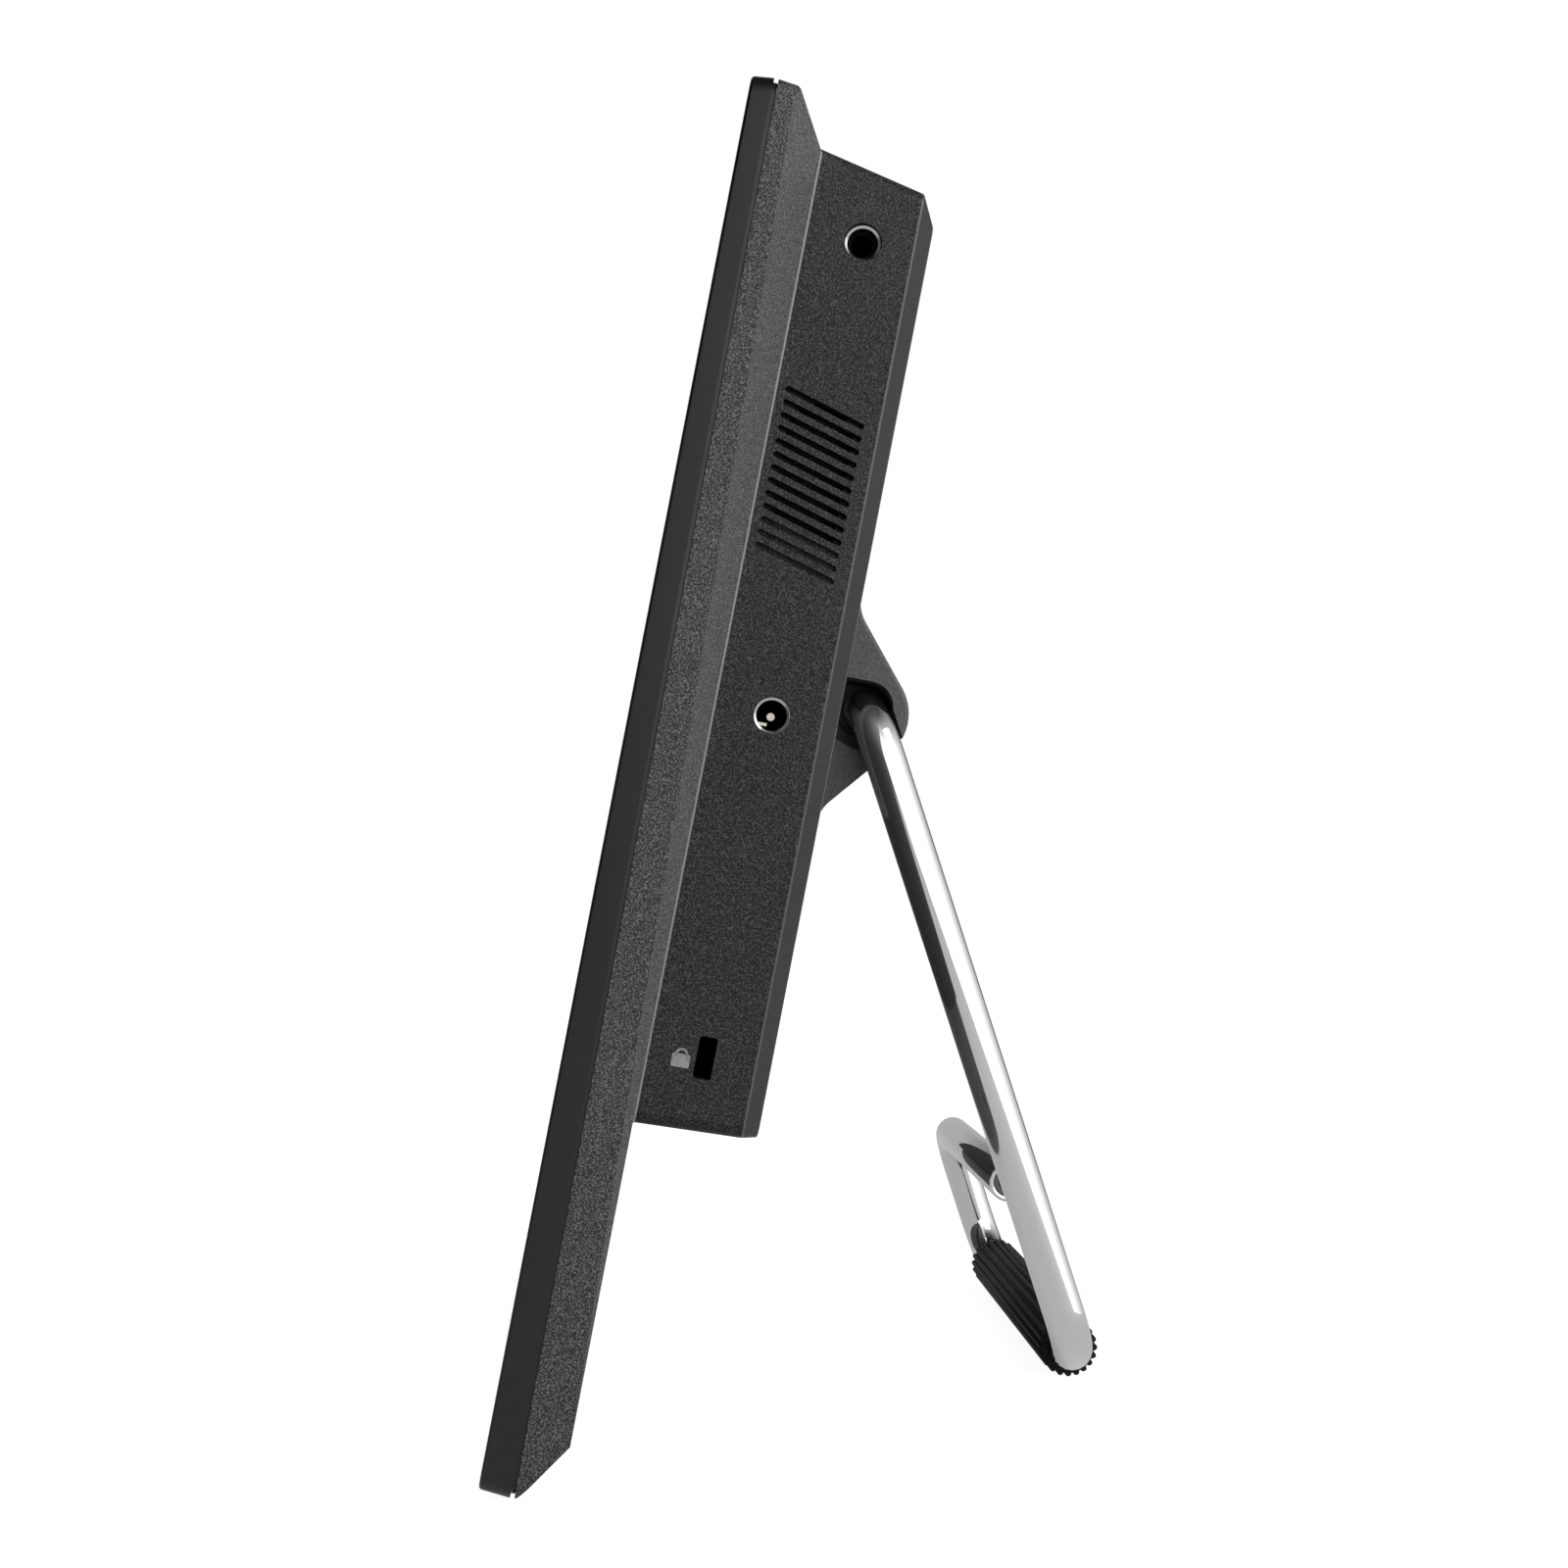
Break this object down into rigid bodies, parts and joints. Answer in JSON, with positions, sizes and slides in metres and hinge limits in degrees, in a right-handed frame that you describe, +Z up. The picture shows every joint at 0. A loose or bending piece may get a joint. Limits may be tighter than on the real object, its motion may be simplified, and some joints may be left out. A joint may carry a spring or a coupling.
{
  "type": "digital photo frame",
  "caption": "Desktop digital photo frame: black case with a raised box on its back, leaning on a folding stand bent from one chrome tube with a ribbed rubber sleeve.",
  "frame": {"origin": "centre of the footprint on the surface the frame stands on", "axes": "+X to the right of someone looking at the screen, along its width; +Y from the screen towards the back; +Z up"},
  "size_m": [0.2862, 0.1159, 0.2273],
  "materials": {
    "bezel_black": "satin gloss moulded",
    "housing_black": "spark-textured moulded",
    "button_black": "fine matt moulded",
    "chrome_tube": "polished chrome plate",
    "cap_grey": "moulded",
    "black_rubber": "moulded ribs",
    "screen_glass": "anti-glare panel",
    "sheet_steel": "zinc-plated sheet",
    "screw_steel": "black zinc",
    "nickel_ring": "nickel plate",
    "circuit_board": "solder mask",
    "chip_black": "moulded epoxy",
    "can_aluminium": "drawn can",
    "light_guide": "acrylic and white tray",
    "connector_black": "moulded",
    "cream_plastic": "moulded",
    "cone_paper": "pressed paper",
    "flex_orange": "polyimide",
    "lead_black": "insulated wire",
    "contact_metal": "plated contact"
  },
  "bodies": {
    "frame": {"audio_board": "circuit_board", "backlight_unit": "light_guide", "base_feet": "black_rubber", "board_capacitors": "can_aluminium", "board_chips": "chip_black", "board_screws": "screw_steel", "button_board": "circuit_board", "button_board_screws": "screw_steel", "card_board": "circuit_board", "card_reader": "sheet_steel", "chassis_plate": "sheet_steel", "clock_cell": "can_aluminium", "clock_cell_holder": "connector_black", "display_cable": "flex_orange", "display_connector": "cream_plastic", "front_bezel": "bezel_black", "headphone_socket": "connector_black", "headphone_socket_ring": "nickel_ring", "hinge_bracket": "sheet_steel", "hinge_bushes": "cream_plastic", "hinge_cover": "housing_black", "hinge_screws": "screw_steel", "housing_screws": "screw_steel", "inverter_board": "circuit_board", "inverter_parts": "chip_black", "lcd_frame": "sheet_steel", "lcd_glass": "screen_glass", "lock_plate": "sheet_steel", "main_board": "circuit_board", "plate_screws": "screw_steel", "power_board": "circuit_board", "power_socket": "connector_black", "power_socket_pin": "contact_metal", "power_socket_ring": "nickel_ring", "power_socket_spring": "contact_metal", "rear_housing": "housing_black", "shield_can": "sheet_steel", "speaker_cones": "cone_paper", "speaker_frames": "connector_black", "speaker_leads": "lead_black", "spring_washer": "sheet_steel", "tact_switches": "connector_black", "usb_socket": "sheet_steel"},
    "stand": {"stand_tube": "chrome_tube", "stand_end_cap": "cap_grey", "stand_sleeve": "black_rubber", "stand_collar": "sheet_steel", "retaining_ring": "sheet_steel"},
    "menu_button": {"menu_button": "button_black"},
    "previous_button": {"previous_button": "button_black"},
    "select_button": {"select_button": "button_black"},
    "next_button": {"next_button": "button_black"},
    "back_button": {"back_button": "button_black"},
    "power_button": {"power_button": "button_black"}
  },
  "joints": [
    {"name": "stand_fold", "type": "hinge", "parent": "frame", "child": "stand", "pos_m": [0, 0.01134, 0.13255], "axis": [1, 0, 0], "range_deg": [-28.8, 0]},
    {"name": "menu_press", "type": "slide", "parent": "frame", "child": "menu_button", "axis": [0, -0.9818, 0.19], "range_m": [0, 0.0008], "stiffness_N_per_m": 1500},
    {"name": "previous_press", "type": "slide", "parent": "frame", "child": "previous_button", "axis": [0, -0.9818, 0.19], "range_m": [0, 0.0008], "stiffness_N_per_m": 1500},
    {"name": "select_press", "type": "slide", "parent": "frame", "child": "select_button", "axis": [0, -0.9818, 0.19], "range_m": [0, 0.0008], "stiffness_N_per_m": 1500},
    {"name": "next_press", "type": "slide", "parent": "frame", "child": "next_button", "axis": [0, -0.9818, 0.19], "range_m": [0, 0.0008], "stiffness_N_per_m": 1500},
    {"name": "back_press", "type": "slide", "parent": "frame", "child": "back_button", "axis": [0, -0.9818, 0.19], "range_m": [0, 0.0008], "stiffness_N_per_m": 1500},
    {"name": "power_press", "type": "slide", "parent": "frame", "child": "power_button", "axis": [0, -0.9818, 0.19], "range_m": [0, 0.0008], "stiffness_N_per_m": 1500}
  ]
}
